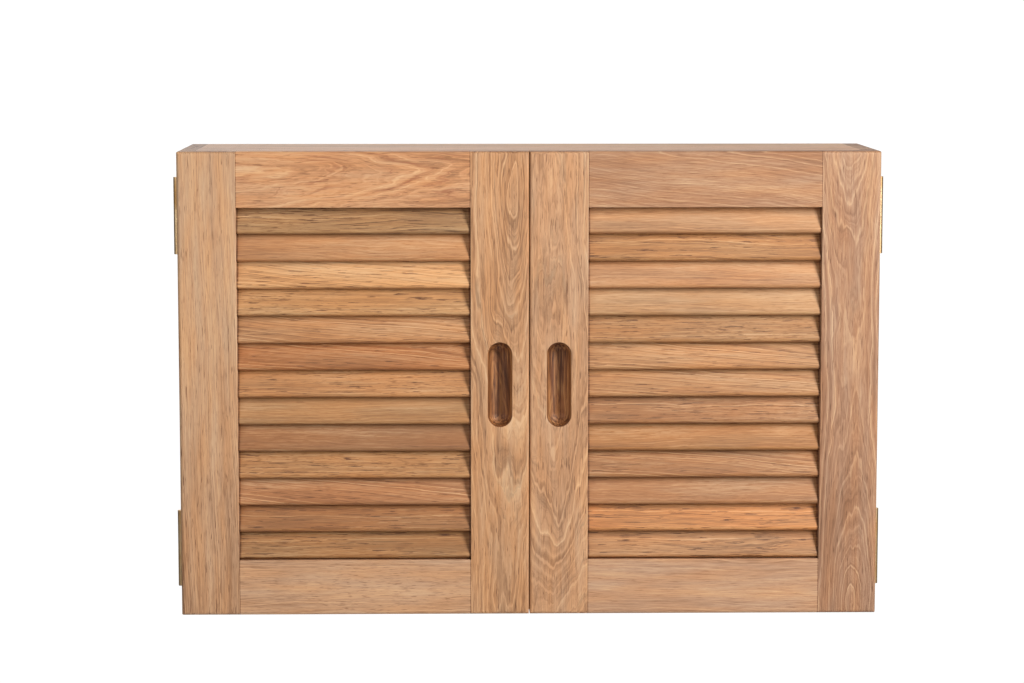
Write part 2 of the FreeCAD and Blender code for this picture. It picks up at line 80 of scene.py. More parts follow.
def blank(name):
    """A new material and its network of nodes, still empty."""
    material = bpy.data.materials.new(name)
    material.use_nodes = True
    material.node_tree.nodes.clear()
    return material, material.node_tree


def add(tree, kind, inputs, out=0, stops=(), **settings):
    """Adds a node with its settings, its inputs and its colour stops, and gives back one of its outputs."""
    node = tree.nodes.new(kind)
    for name, value in settings.items():
        setattr(node, name, value)
    for name, value in inputs.items():
        if isinstance(value, bpy.types.NodeSocket):
            tree.links.new(value, node.inputs[name])
        else:
            node.inputs[name].default_value = value
    for number, (place, hex_value) in enumerate(stops):
        held = node.color_ramp.elements
        stop = held[number] if number < len(held) else held.new(place)
        stop.position = place
        stop.color = linear(hex_value)
    return node.outputs[out] if node.outputs else node


print("mid grey #808080 is", round(linear("#808080")[0], 3), "in linear light")

# %% [markdown]
# ## The view
#
# The cabinet is seen from the front, a little above its middle and a touch to the left, through a long
# lens. A long lens from far away keeps the doors nearly free of perspective, as product pictures do.

# %% Camera
doors_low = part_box("left_outer_stile")[0]
doors_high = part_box("right_outer_stile")[1]
doors_centre = (doors_low + doors_high) / 2
doors_face = doors_low.y

LENS_MM, SENSOR_MM = 100, 36
TO_THE_LEFT, IN_FRONT, ABOVE = 0.0688, 2.780, 0.3636
LOOK_DOWN, LOOK_RIGHT = 6.575, 1.063

camera = bpy.data.objects.new("camera", bpy.data.cameras.new("camera"))
camera.data.lens = LENS_MM
camera.data.sensor_width = SENSOR_MM
camera.location = (doors_centre.x - TO_THE_LEFT, doors_face - IN_FRONT, doors_centre.z + ABOVE)
camera.rotation_euler = (math.radians(90 - LOOK_DOWN), 0, math.radians(-LOOK_RIGHT))
bpy.context.scene.collection.objects.link(camera)
bpy.context.scene.camera = camera
print("the camera stands", round(doors_face - camera.location.y, 2), "m in front of the doors")

# %% [markdown]
# ## The studio
#
# A product studio is a white backdrop, a pale floor and big soft lamps. The world draws the backdrop: what
# the camera sees behind the cabinet is white. To everything else it gives light from behind the cabinet,
# which grazes the top and the outer arrises, and hardly any from the other sides.
# The cabinet hangs, so the floor lies well below it. It shows in the views from above, and it sends some
# light back up, which rounds the undersides of the slats.

# %% Backdrop
bpy.context.scene.view_settings.view_transform = "Standard"
BACKDROP_STRENGTH = 1.05
# Straight behind the cabinet is 1, beside it is 0. The room is dim up to the edge, bright at the heart.
GLOW_EDGE, GLOW_HEART = 0.55, 0.95
DIM, BRIGHT = 0.05, 1.0

world = bpy.data.worlds.new("studio_backdrop")
bpy.context.scene.world = world
world.use_nodes = True
air = world.node_tree
air.nodes.clear()
seen = add(air, "ShaderNodeLightPath", {}, "Is Camera Ray")
white_backdrop = add(air, "ShaderNodeBackground",
                     {"Color": linear("#FFFFFF"), "Strength": BACKDROP_STRENGTH})
direction = add(air, "ShaderNodeTexCoord", {}, "Generated")
behind = add(air, "ShaderNodeSeparateXYZ", {0: direction}, "Y")
level = add(air, "ShaderNodeMapRange", {0: behind, 1: GLOW_EDGE, 2: GLOW_HEART, 3: DIM, 4: BRIGHT})
room_light = add(air, "ShaderNodeBackground", {"Color": linear("#FAFBFF"), "Strength": level})
chosen = add(air, "ShaderNodeMixShader", {0: seen, 1: room_light, 2: white_backdrop})
add(air, "ShaderNodeOutputWorld", {"Surface": chosen})

# %% Floor
FLOOR_DROP = 2.2
FLOOR_SIDE = 8.0
floor_height = drawn_box[0][2] - FLOOR_DROP
half = FLOOR_SIDE / 2
corners = [(-half, -half), (half, -half), (half, half), (-half, half)]
floor_mesh = bpy.data.meshes.new("floor")
floor_mesh.from_pydata([(x, y, floor_height) for x, y in corners], [], [(0, 1, 2, 3)])
floor = bpy.data.objects.new("floor", floor_mesh)
bpy.context.scene.collection.objects.link(floor)

floor_paint, paint = blank("matt_floor_paint")
rolled = add(paint, "ShaderNodeTexNoise", {"Scale": 3.0, "Detail": 4.0})
paint_tone = add(paint, "ShaderNodeValToRGB", {0: rolled}, stops=[(0.35, "#ECEBE8"), (0.65, "#F3F2EF")])
paint_shader = add(paint, "ShaderNodeBsdfPrincipled", {"Base Color": paint_tone, "Roughness": 0.8})
add(paint, "ShaderNodeOutputMaterial", {"Surface": paint_shader})
floor_mesh.materials.append(floor_paint)
print("the floor lies", FLOOR_DROP, "m under the cabinet")

# %% [markdown]
# ## The lamps
#
# One big soft lamp stands to the right, in front and high up. It is what models the louvres: each stile
# shades the right-hand ends of the slats beside it, and each slat shades the top of the one below.
# A weaker one on the left opens the shadows, and a third behind the cabinet keeps its back readable.
# The floor has a lamp of its own below the cabinet, as studios light a backdrop apart from the thing.
# Each lamp is described by where it is seen from the doors: how far round, how high and how far away.

# %% Lamps


def lamp(name, around, height, distance, width, tall, power, aim=doors_centre):
    """A soft white rectangular lamp, at those angles and that distance from the middle of the doors."""
    turn, rise = math.radians(around), math.radians(height)
    flat = math.cos(rise) * distance
    offset = Vector((math.sin(turn) * flat, -math.cos(turn) * flat, math.sin(rise) * distance))
    light = bpy.data.lights.new(name, "AREA")
    light.shape = "RECTANGLE"
    light.size = width
    light.size_y = tall
    light.energy = power
    holder = bpy.data.objects.new(name, light)
    holder.location = doors_centre + offset
    holder.rotation_euler = (aim - holder.location).to_track_quat("-Z", "Y").to_euler()
    holder.visible_camera = False
    bpy.context.scene.collection.objects.link(holder)
    print(name, "at", [round(c, 2) for c in holder.location], "m,", power, "W")


floor_middle = Vector((doors_centre.x, doors_centre.y, floor_height))
lamp("key_softbox", around=43, height=25, distance=2.4, width=0.7, tall=1.9, power=74)
lamp("left_softbox", around=-40, height=20, distance=2.4, width=1.4, tall=1.6, power=21)
lamp("back_softbox", around=200, height=35, distance=3.0, width=2.0, tall=1.5, power=16)
lamp("floor_wash", around=0, height=-89, distance=0.9, width=11.0, tall=11.0, power=180, aim=floor_middle)

# %% [markdown]
# ## Teak, as solid wood
#
# Teak is a ring-porous hardwood: each year starts with a dark line of wide pores and goes on in denser,
# paler wood. Sawn and planed, those years show as lines, arches or loops, depending on where the board lay
# in the log. So the wood is not painted on the boards: it is a block of log, described in three dimensions,
# and each board cuts its own slice from it. Faces, edges and end grain then agree with each other by
# themselves, as they do in real wood.
#
# The finish is teak oil, rubbed in by hand: no thick film, a soft shine, a little smoother on the arrises
# that hands and cloths have rubbed, and paler there, partly from that rubbing and partly as a painted
# highlight, and darker on the thirsty end grain. Typical values for oiled wood are an index of refraction of
# 1.5 and a roughness from 0.5 to 0.6.
#
# Pores are really 0.2 to 0.3 mm wide and fibres far finer. Drawn that fine they would vanish at this
# distance, so pores are drawn about three times as coarse, fibres as bundles of 0.7 mm, and the dark veins,
# where gum fills a few pores side by side, as lines of 1 mm. All three are coarser than in real teak.

# %% Colours of teak and, in metres, the sizes of what shows in it
HEARTWOOD, SAPWOOD = "#5A351C", "#F2CFA3"
PORE_WIDTH, PORE_LENGTH = 0.0008, 0.008
FIBRE_WIDTH, FIBRE_LENGTH = 0.0007, 0.016
VEIN_WIDTH, VEIN_LENGTH = 0.0010, 0.022
CLOUD_WIDTH, CLOUD_LENGTH = 0.030, 0.16
DRIFT_WIDTH, DRIFT_LENGTH = 0.012, 0.10
# How wide the paler arrises are: rubbed wood, and partly a painted highlight.
ARRIS_RUB_AND_SHEEN = 0.0022
JOINT_LINE = 0.00045
print("fibres are drawn", 1000 * FIBRE_WIDTH, "mm wide and pores", 1000 * PORE_WIDTH, "mm")

# %% [markdown]
# ## A board and its grain
#
# Every pattern needs to know which way the board lies. A board's own axes have their origin in its middle,
# and lean with it if it is a slat. Whatever follows the fibres, from pores to clouds of colour, is one
# noise, drawn out along the grain.

# %% Board axes and stretched patterns
# The slats are turned by this angle about X, so that their lower edges stand out.
LEAN = math.radians(-21.7)


def own_box(name, lean):
    """The middle and the half size of a board in its own axes, which lean by an angle about X."""
    upright = Euler((-lean, 0, 0)).to_matrix()
    turned = [upright @ v.co for v in pieces[name].data.vertices]
    lowest = Vector([min(v[i] for v in turned) for i in range(3)])
    highest = Vector([max(v[i] for v in turned) for i in range(3)])
    middle = upright.inverted() @ ((lowest + highest) / 2)
    return middle, (highest - lowest) / 2


def stretched(tree, grain, width, length, detail, output=0):
    """Noise in spots of that width, drawn out to that length along the grain."""
    drawn_out = add(tree, "ShaderNodeVectorMath",
                    {0: grain, 1: (1 / width, 1 / width, 1 / length)}, operation="MULTIPLY")
    return add(tree, "ShaderNodeTexNoise", {"Vector": drawn_out, "Scale": 1.0, "Detail": detail}, output)


print("half the size of a slat in its own axes, in mm:",
      [round(1000 * side, 1) for side in own_box("left_slat_01", LEAN)[1]])

# %% [markdown]
# ## Counting the years
#
# The distance from the heart of the log, divided by the width of a ring, counts the years. The heart
# wanders a little, so the lines wave. A year starts with a fine pale line and a dark row of pores, and
# evens out. No two years are alike: some lines are strong and some hardly show, and finer lines run
# between them. Those differences are noises that run through the years instead of through space.

# %% Years and their lines
WAVE_WIDTH, WAVE_LENGTH = 0.050, 0.24
YEAR_STOPS = [(0.0, "#F0F0F0"), (0.07, "#D0D0D0"), (0.11, "#101010"), (0.20, "#404040"),
              (0.45, "#808080"), (0.94, "#8C8C8C"), (1.0, "#F0F0F0")]
# Most of a year is about this grey in linear light, and hardly darkens or lightens the wood.
YEAR_GREY = 0.22
# How often each noise changes in a year.
LUCK_PACE, TONE_PACE, FINE_PACE = 0.61, 0.23, 1.9


def distance_from_heart(tree, grain, across, through, along, heart, tilt, bow, skew, wander):
    """How far each point of the board lies from the wandering heart of its log, in metres."""
    reach = wander / 1000
    wave_noise = stretched(tree, grain, WAVE_WIDTH, WAVE_LENGTH, 5.0, "Color")
    wave = add(tree, "ShaderNodeVectorMath", {0: wave_noise, 1: (2 * reach, 2 * reach, 0),
               2: (-reach - heart[0] / 1000, heart[1] / 1000 - reach, 0)}, operation="MULTIPLY_ADD")
    slope = add(tree, "ShaderNodeMath", {0: along, 1: bow, 2: tilt}, operation="MULTIPLY_ADD")
    sideways = add(tree, "ShaderNodeMath", {0: along, 1: skew, 2: across}, operation="MULTIPLY_ADD")
    inwards = add(tree, "ShaderNodeMath", {0: along, 1: slope, 2: through}, operation="MULTIPLY_ADD")
    section = add(tree, "ShaderNodeCombineXYZ", {0: sideways, 1: inwards})
    waved = add(tree, "ShaderNodeVectorMath", {0: section, 1: wave}, operation="ADD")
    return add(tree, "ShaderNodeVectorMath", {0: waved}, "Value", operation="LENGTH")


def year_lines(tree, years):
    """The line that starts each year, the tone that runs through the years, and the finer lines."""
    season = add(tree, "ShaderNodeMath", {0: years}, operation="FRACT")
    year_line = add(tree, "ShaderNodeValToRGB", {0: season}, stops=YEAR_STOPS)
    signed_line = add(tree, "ShaderNodeMath", {0: year_line, 1: YEAR_GREY}, operation="SUBTRACT")
    luck = add(tree, "ShaderNodeTexNoise", {"W": years, "Scale": LUCK_PACE, "Detail": 1.0},
               noise_dimensions="1D")
    strength = add(tree, "ShaderNodeMapRange", {0: luck, 1: 0.35, 2: 0.68, 3: 0.1, 4: 1.0})
    line = add(tree, "ShaderNodeMath", {0: signed_line, 1: strength}, operation="MULTIPLY")
    years_run = add(tree, "ShaderNodeTexNoise", {"W": years, "Scale": TONE_PACE, "Detail": 3.0},
                    noise_dimensions="1D")
    fine_lines = add(tree, "ShaderNodeTexNoise", {"W": years, "Scale": FINE_PACE, "Detail": 3.0,
                     "Roughness": 0.7}, noise_dimensions="1D")
    return line, years_run, fine_lines


print("the heart wanders in waves", round(1000 * WAVE_LENGTH), "mm long")

# %% [markdown]
# ## Streaks, arrises, handling and painted light
#
# Mineral streaks follow the rings in darker, greyer lines. Along an arris the wood is paler, partly rubbed
# and
# partly a painted highlight: the second smallest distance to the board's faces is the distance to its
# nearest arris. In a finger pull the wood is painted dark, partly for the grease that fingers leave and
# partly as painted shade in the recess.

# %% Streaks, rubbed arrises with a painted highlight, and greased pulls with painted shade
# How often a streak can change in a metre, across the rings and along them.
STREAKS_ACROSS, STREAKS_ALONG = 600, 14.0
PULL_EDGE = 0.0012


def mineral_streaks(tree, from_heart, along, seed):
    """Where mineral streaks lie, from 0 to 1."""
    in_rings = add(tree, "ShaderNodeCombineXYZ", {0: from_heart, 1: along, 2: seed * 0.05})
    drawn_out = add(tree, "ShaderNodeVectorMath", {0: in_rings, 1: (STREAKS_ACROSS, STREAKS_ALONG, 1)},
                    operation="MULTIPLY")
    streak_noise = add(tree, "ShaderNodeTexNoise", {"Vector": drawn_out, "Scale": 1.0, "Detail": 6.0,
                       "Roughness": 0.6})
    return add(tree, "ShaderNodeMapRange", {0: streak_noise, 1: 0.54, 2: 0.68})


# The arris mask: where hands rub, and where a painted highlight stands in for the light on the arrises.
def arris_rub_and_sheen(tree, own, half_size):
    """1 on the arrises of a board, falling to 0 a little way in."""
    folded = add(tree, "ShaderNodeVectorMath", {0: own}, operation="ABSOLUTE")
    to_faces = add(tree, "ShaderNodeVectorMath", {0: half_size, 1: folded}, operation="SUBTRACT")
    a, b, c = add(tree, "ShaderNodeSeparateXYZ", {0: to_faces}).node.outputs
    nearer = add(tree, "ShaderNodeMath", {0: a, 1: b}, operation="MINIMUM")
    farther = add(tree, "ShaderNodeMath", {0: a, 1: b}, operation="MAXIMUM")
    third = add(tree, "ShaderNodeMath", {0: farther, 1: c}, operation="MINIMUM")
    to_arris = add(tree, "ShaderNodeMath", {0: nearer, 1: third}, operation="MAXIMUM")
    return add(tree, "ShaderNodeMapRange", {0: to_arris, 1: 0.0, 2: ARRIS_RUB_AND_SHEEN, 3: 1.0, 4: 0.0},
               interpolation_type="SMOOTHSTEP")


def inside_pull(tree, solid, pull):
    """1 inside the box around a finger pull, falling to 0 at its edge."""
    inside = add(tree, "ShaderNodeVectorMath", {0: solid, 1: pull[0]}, operation="SUBTRACT")
    inside = add(tree, "ShaderNodeVectorMath", {0: inside}, operation="ABSOLUTE")
    inside = add(tree, "ShaderNodeVectorMath", {0: pull[1], 1: inside}, operation="SUBTRACT")
    a, b, c = add(tree, "ShaderNodeSeparateXYZ", {0: inside}).node.outputs
    least = add(tree, "ShaderNodeMath", {0: a, 1: b}, operation="MINIMUM")
    least = add(tree, "ShaderNodeMath", {0: least, 1: c}, operation="MINIMUM")
    return add(tree, "ShaderNodeMapRange", {0: least, 1: 0.0, 2: PULL_EDGE})


print("arrises are rubbed", 1000 * ARRIS_RUB_AND_SHEEN, "mm wide")

# %% [markdown]
# ## The teak itself
#
# All the patterns are added up to one shade, where 0 is the darkest wood of the board and 1 its palest, and
# a ramp of the board's own colours turns that shade into wood. The colour itself drifts a little along the
# board, from honey to grey. Pores and pore lines also lie a little below the planed face, which is the
# relief, and they shine less. Each board takes its patterns from its own place in the noise: its seed times
# a distance in metres.

# %% Teak
SEED_ACROSS, SEED_ALONG = 0.173, 0.731
# How much each pattern adds to the shade.
FINE_LINE_SHARE, FIBRE_SHARE, BUNDLE_SHARE, CLOUD_SHARE = 1.6, 0.64, 0.35, 0.60
MIDDLE_SHADE, RUB_AND_SHEEN_SHARE, END_GRAIN_SHARE, JOINT_SHARE = 0.57, 0.15, -0.22, -0.45
# The roughness of the oiled wood, and what pores, pore lines and rubbing add to it.
ROUGHNESS, PORE_ROUGHNESS, LINE_ROUGHNESS, RUBBED_ROUGHNESS = 0.56, 0.14, -0.08, -0.10
# The relief is the fibres, with these shares of lines and pores. It is this deep, in metres.
LINE_RELIEF, PORE_RELIEF, RELIEF_DEPTH = 0.5, -0.8, 0.00012


def teak(name, axes, tone, seed, heart=(0, 60), tilt=0.0, bow=0.0, skew=0.0, ring=3.5, wander=5.0,
         lines=0.5, bands=0.5, flecks=0.35, streaks=0.3, veins=0.45, fade=0.0, mineral="#4A2E1C",
         lean=0.0, joints=(), joint_line=JOINT_LINE, pull=None):
    """Oiled teak for one board, cut from its own place in the log.

    axes names the directions across the face, through the board and along the grain. heart is where
    the heart of the log lies, across and behind the face, in mm. Along the board it draws away by tilt,
    curves by bow per metre and goes sideways by skew. ring is the width of a year and wander how much
    the lines wave, in mm. lines, bands, flecks, streaks and veins say how strongly each of them shows,
    and fade how much paler the board gets in a metre. joints are the places along the grain where a
    shoulder meets the next board, joint_line is how wide the dark line there is, and pull the middle
    and half size of a finger pull, all in metres.
    """
    middle, half_size = own_box(name, lean)
    material, tree = blank("oiled_teak_" + name)
    solid = add(tree, "ShaderNodeTexCoord", {}, "Object")
    own = add(tree, "ShaderNodeMapping", {"Vector": solid, "Location": middle,
              "Rotation": (lean, 0, 0)}, vector_type="TEXTURE")
    split = add(tree, "ShaderNodeSeparateXYZ", {0: own}).node.outputs
    across, through, along = (split[letter.upper()] for letter in axes)
    shifted_across = add(tree, "ShaderNodeMath", {0: across, 1: seed * SEED_ACROSS}, operation="ADD")
    shifted_along = add(tree, "ShaderNodeMath", {0: along, 1: seed * SEED_ALONG}, operation="ADD")
    grain = add(tree, "ShaderNodeCombineXYZ", {0: shifted_across, 1: through, 2: shifted_along})

    from_heart = distance_from_heart(tree, grain, across, through, along, heart, tilt, bow, skew, wander)
    years = add(tree, "ShaderNodeMath", {0: from_heart, 1: 1000 / ring}, operation="MULTIPLY")
    line, years_run, fine_lines = year_lines(tree, years)
    streak = mineral_streaks(tree, from_heart, shifted_along, seed)

    # Fibres, pores, veins and clouds run along the grain.
    fibres = stretched(tree, grain, FIBRE_WIDTH, FIBRE_LENGTH, 3.0)
    bundles = stretched(tree, grain, 3 * FIBRE_WIDTH, 3 * FIBRE_LENGTH, 3.0)
    clouds = stretched(tree, grain, CLOUD_WIDTH, CLOUD_LENGTH, 3.0)
    patches = add(tree, "ShaderNodeMapRange", {0: clouds, 1: 0.42, 2: 0.56, 3: 0.25, 4: 1.0})
    all_pores = add(tree, "ShaderNodeMapRange", {0: stretched(tree, grain, PORE_WIDTH, PORE_LENGTH, 1.0),
                    1: 0.57, 2: 0.72}, interpolation_type="SMOOTHSTEP")
    pores = add(tree, "ShaderNodeMath", {0: all_pores, 1: patches}, operation="MULTIPLY")
    vein = add(tree, "ShaderNodeMapRange", {0: stretched(tree, grain, VEIN_WIDTH, VEIN_LENGTH, 2.0),
               1: 0.63, 2: 0.67}, interpolation_type="SMOOTHSTEP")

    # Hands rub the arrises unevenly, and their paleness is partly a painted highlight. End grain drinks more
    # oil.
    rub_and_sheen = add(tree, "ShaderNodeMath", {0: arris_rub_and_sheen(tree, own, half_size), 1: clouds},
                 operation="MULTIPLY")
    facing = add(tree, "ShaderNodeSeparateXYZ", {0: add(tree, "ShaderNodeTexCoord", {}, "Normal")})
    end_on = add(tree, "ShaderNodeMath", {0: facing.node.outputs[axes[2].upper()]}, operation="ABSOLUTE")
    end_grain = add(tree, "ShaderNodeMapRange", {0: end_on, 1: 0.5, 2: 0.95})

    # All of it added up to one shade.
    shade = add(tree, "ShaderNodeMath", {0: years_run, 1: bands, 2: MIDDLE_SHADE - bands / 2},
                operation="MULTIPLY_ADD")
    for amount, part in ((FINE_LINE_SHARE * lines, fine_lines), (FIBRE_SHARE, fibres),
                         (BUNDLE_SHARE, bundles), (CLOUD_SHARE, clouds)):
        centred = add(tree, "ShaderNodeMath", {0: part, 1: amount, 2: -amount / 2}, operation="MULTIPLY_ADD")
        shade = add(tree, "ShaderNodeMath", {0: shade, 1: centred}, operation="ADD")
    # The rubbed arrises are paler partly as a painted highlight.
    for amount, part in ((lines, line), (-flecks, pores), (-veins, vein), (fade, along),
                         (RUB_AND_SHEEN_SHARE, rub_and_sheen), (END_GRAIN_SHARE, end_grain)):
        shade = add(tree, "ShaderNodeMath", {0: part, 1: amount, 2: shade}, operation="MULTIPLY_ADD")
    # Each joint gets a dark line: a glue line at a rail's shoulders, and painted shade at a slat's ends,
    # where it enters its pocket.
    for place in joints:
        off = add(tree, "ShaderNodeMath", {0: along, 1: place}, operation="SUBTRACT")
        gap = add(tree, "ShaderNodeMath", {0: off}, operation="ABSOLUTE")
        glue_and_painted_shade = add(tree, "ShaderNodeMapRange", {0: gap, 1: joint_line, 2: 2 * joint_line,
                   3: JOINT_SHARE, 4: 0.0})
        shade = add(tree, "ShaderNodeMath", {0: shade, 1: glue_and_painted_shade}, operation="ADD")

    # The shade becomes a colour, with its streaks, its drift, and in a finger pull its grease and painted
    # shade.
    colour = add(tree, "ShaderNodeValToRGB", {0: shade}, stops=[
        (0.0, between(tone, HEARTWOOD, 0.85)), (0.28, between(tone, HEARTWOOD, 0.36)),
        (0.58, tone), (1.0, between(tone, SAPWOOD, 0.5))])
    stained = add(tree, "ShaderNodeMath", {0: streak, 1: streaks}, operation="MULTIPLY")
    colour = add(tree, "ShaderNodeMix", {0: stained, 6: colour, 7: linear(mineral)}, 2, data_type="RGBA")
    drift = add(tree, "ShaderNodeValToRGB", {0: stretched(tree, grain, DRIFT_WIDTH, DRIFT_LENGTH, 3.0)},
                stops=[(0.36, "#FFF6EA"), (0.64, "#F7FAFF")])
    colour = add(tree, "ShaderNodeMix", {0: 1.0, 6: colour, 7: drift}, 2, data_type="RGBA",
                 blend_type="MULTIPLY")
    if pull:
        # Inside a finger pull the wood is darkened: grease, and painted shade in the recess.
        grease_and_painted_shade = add(tree, "ShaderNodeValToRGB", {0: bundles}, stops=[(0.40, "#977C64"), (0.58, "#E6D0AE")])
        colour = add(tree, "ShaderNodeMix", {0: inside_pull(tree, solid, pull), 6: colour, 7: grease_and_painted_shade}, 2,
                     data_type="RGBA", blend_type="MULTIPLY")

    # The gloss and the relief.
    rough, relief = ROUGHNESS, fibres
    for amount, part in ((PORE_ROUGHNESS, pores), (LINE_ROUGHNESS, line), (RUBBED_ROUGHNESS, rub_and_sheen)):
        rough = add(tree, "ShaderNodeMath", {0: part, 1: amount, 2: rough}, operation="MULTIPLY_ADD")
    for amount, part in ((LINE_RELIEF, line), (PORE_RELIEF, pores)):
        relief = add(tree, "ShaderNodeMath", {0: part, 1: amount, 2: relief}, operation="MULTIPLY_ADD")
    bump = add(tree, "ShaderNodeBump", {"Strength": 0.55, "Distance": RELIEF_DEPTH, "Height": relief})
    shader = add(tree, "ShaderNodeBsdfPrincipled", {"Base Color": colour, "Roughness": rough,
                 "IOR": 1.5, "Normal": bump})
    add(tree, "ShaderNodeOutputMaterial", {"Surface": shader})
    pieces[name].material_slots[0].material = material


print("teak is mixed from", HEARTWOOD, "to", SAPWOOD, "around each board's own tone")

# %% [markdown]
# ## How the boards were sawn
#
# Where a board lay in the log decides its figure. Sawn through the middle of the log, the rings stand on
# edge and give straight lines. Sawn near the outside, they lie flat, and any taper of the tree draws them
# out into arches. A joiner picks straight wood for stiles and rails where possible, but a plain workshop
# cabinet takes what comes, so these stiles have arches and the rails have flames.

# %% Ways of sawing
STRAIGHT = dict(heart=(230, 10), ring=3.0, wander=9, lines=0.45, bands=0.45, flecks=0.15, streaks=0.15)
ARCHED = dict(heart=(6, 42), tilt=0.16, ring=5.0, wander=16, lines=0.55, bands=0.45, flecks=0.15,
              streaks=0.2)
FLAMED = dict(heart=(0, 36), tilt=0.09, ring=4.2, wander=22, lines=0.45, bands=0.6, flecks=0.18,
              streaks=0.3)
PLAIN = dict(heart=(120, 60), ring=4.0, wander=14, lines=0.3, bands=0.4, flecks=0.15, streaks=0.08,
             veins=0.15)
STRIPED = dict(heart=(60, 34), ring=3.4, wander=8, skew=0.09, lines=0.6, bands=0.7, flecks=0.12,
               streaks=0.2)
FLECKED = dict(heart=(90, 40), ring=4.2, wander=9, lines=0.3, bands=0.4, flecks=0.3, streaks=0.3,
               veins=0.7)
STREAKED = dict(heart=(40, 28), ring=3.6, wander=14, lines=0.45, bands=0.6, flecks=0.2, streaks=0.5,
                veins=1.1)

print("ways of sawing:", "straight, arched, flamed, plain, striped, flecked, streaked")

# %% [markdown]
# ## The door frames
#
# Each door has two stiles, which run its full height, and two rails tenoned between them. The grain runs
# along each board: upright in a stile, level in a rail. At the shoulders the grain changes direction, and
# a hairline of glue and oil marks the joint. The finger pull is a slot cut into each meeting stile.

# %% Stiles and rails
stile_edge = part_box("right_outer_stile")[0].x
meeting_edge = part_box("right_meeting_stile")[1].x
rail_half = (stile_edge - meeting_edge) / 2
shoulders = (-rail_half, rail_half)
PULL_MARGIN, PULL_LIP = 0.0055, 0.0008


def finger_pull(name):
    """The middle and the half size of a finger pull, from the openings that the record declares."""
    opening = next(o for o in frame["record"]["physics"]["openings"] if o["name"] == name)
    lowest, highest = (Vector(corner) for corner in opening["box_m"])
    room_beside = Vector((PULL_MARGIN, PULL_MARGIN, 2 * PULL_MARGIN))
    lowest, highest = lowest - room_beside, highest + room_beside
    lowest.y = doors_face + PULL_LIP
    return (lowest + highest) / 2, (highest - lowest) / 2


STILES = {
    "left_outer_stile": ("#C59872", 3, dict(STRAIGHT, skew=0.03, fade=0.5)),
    "left_meeting_stile": ("#C39268", 8, dict(ARCHED, heart=(12, 40), tilt=-0.12, bow=-0.1, streaks=0.4)),
    "right_meeting_stile": ("#C69770", 5, dict(ARCHED, heart=(-10, 60), tilt=-0.05, bow=0.3, streaks=0.4)),
    "right_outer_stile": ("#AA7E5F", 12, dict(ARCHED, heart=(4, 45), tilt=0.03, bow=-0.55, fade=0.5)),
}
for name, (tone, seed, sawing) in STILES.items():
    pull = finger_pull(name.replace("meeting_stile", "finger_pull")) if "meeting" in name else None
    teak(name, "xyz", tone, seed, pull=pull, **sawing)

RAILS = {
    "left_top_rail": ("#CB9366", 21, dict(FLAMED, streaks=0.5, mineral="#8A4426")),
    "left_bottom_rail": ("#C59975", 22, dict(PLAIN, flecks=0.35)),
    "right_top_rail": ("#AF805D", 23, dict(PLAIN, lines=0.4, skew=0.1)),
    "right_bottom_rail": ("#BF9371", 24, dict(PLAIN)),
}
for name, (tone, seed, sawing) in RAILS.items():
    teak(name, "zyx", tone, seed, joints=shoulders, **sawing)
print("frames in teak; the rails are", round(2000 * rail_half, 1), "mm long between their shoulders")

# %% [markdown]
# ## The slats
#
# The slats are thin offcuts, so no two come from the same board, and that mix of honey, tan, olive and
# reddish brown is what gives the doors their life. Each gets its own tone and its own way of sawing.
# Each leans outwards at the bottom, so its wood is described in axes that lean with it. Where a slat enters
# its pocket, a dark line wider than at the joints of the frame is painted: painted shade for the gap and the
# corner there.

# %% Louvres
slat_low, slat_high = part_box("left_slat_01")
# How wide the dark line at a slat's ends is: painted shade from its pocket.
SLAT_END_SHADE_LINE = 0.0011
SLAT_SEEDS = {"left": 30, "right": 50}
SLATS = {
    "left": [
        ("#AB8256", dict(STREAKED, streaks=0.9)), ("#BC8556", PLAIN), ("#D6A16C", STRIPED),
        ("#C38F5B", FLECKED),
        ("#BD8757", STRIPED), ("#AE7140", STRIPED), ("#C08753", FLECKED), ("#AF7F50", PLAIN),
        ("#9E6D44", PLAIN), ("#B6804D", FLECKED), ("#B0774A", STRIPED), ("#A67041", STREAKED),
        ("#A67545", STREAKED),
    ],
    "right": [
        ("#BC8B5F", PLAIN), ("#B6804D", STREAKED), ("#BC875A", PLAIN), ("#BA8D61", PLAIN),
        ("#B38050", FLECKED), ("#BC8655", STRIPED), ("#B58152", STRIPED), ("#A67348", STREAKED),
        ("#AC7644", PLAIN), ("#A77347", STRIPED), ("#AA774D", PLAIN), ("#C9884F", STREAKED),
        ("#B98455", STREAKED),
    ],
}
for side, rows in SLATS.items():
    for number, (tone, sawing) in enumerate(rows, start=1):
        teak(f"{side}_slat_{number:02d}", "zyx", tone, SLAT_SEEDS[side] + number, lean=LEAN,
             joints=shoulders, joint_line=SLAT_END_SHADE_LINE, **sawing)
print("slats in teak:", sum(len(rows) for rows in SLATS.values()), "of them,",
      round(1000 * (slat_high - slat_low).x, 1), "mm long with their ends")

# %% [markdown]
# ## The box behind the doors
#
# The boards of the carcass run round the box, with their grain along each board. They see less sun and less
# handling than the doors, and they are a little greyer. The top panel is painted paler, for the light that
# grazes its face. The shelf and the back are the same wood.

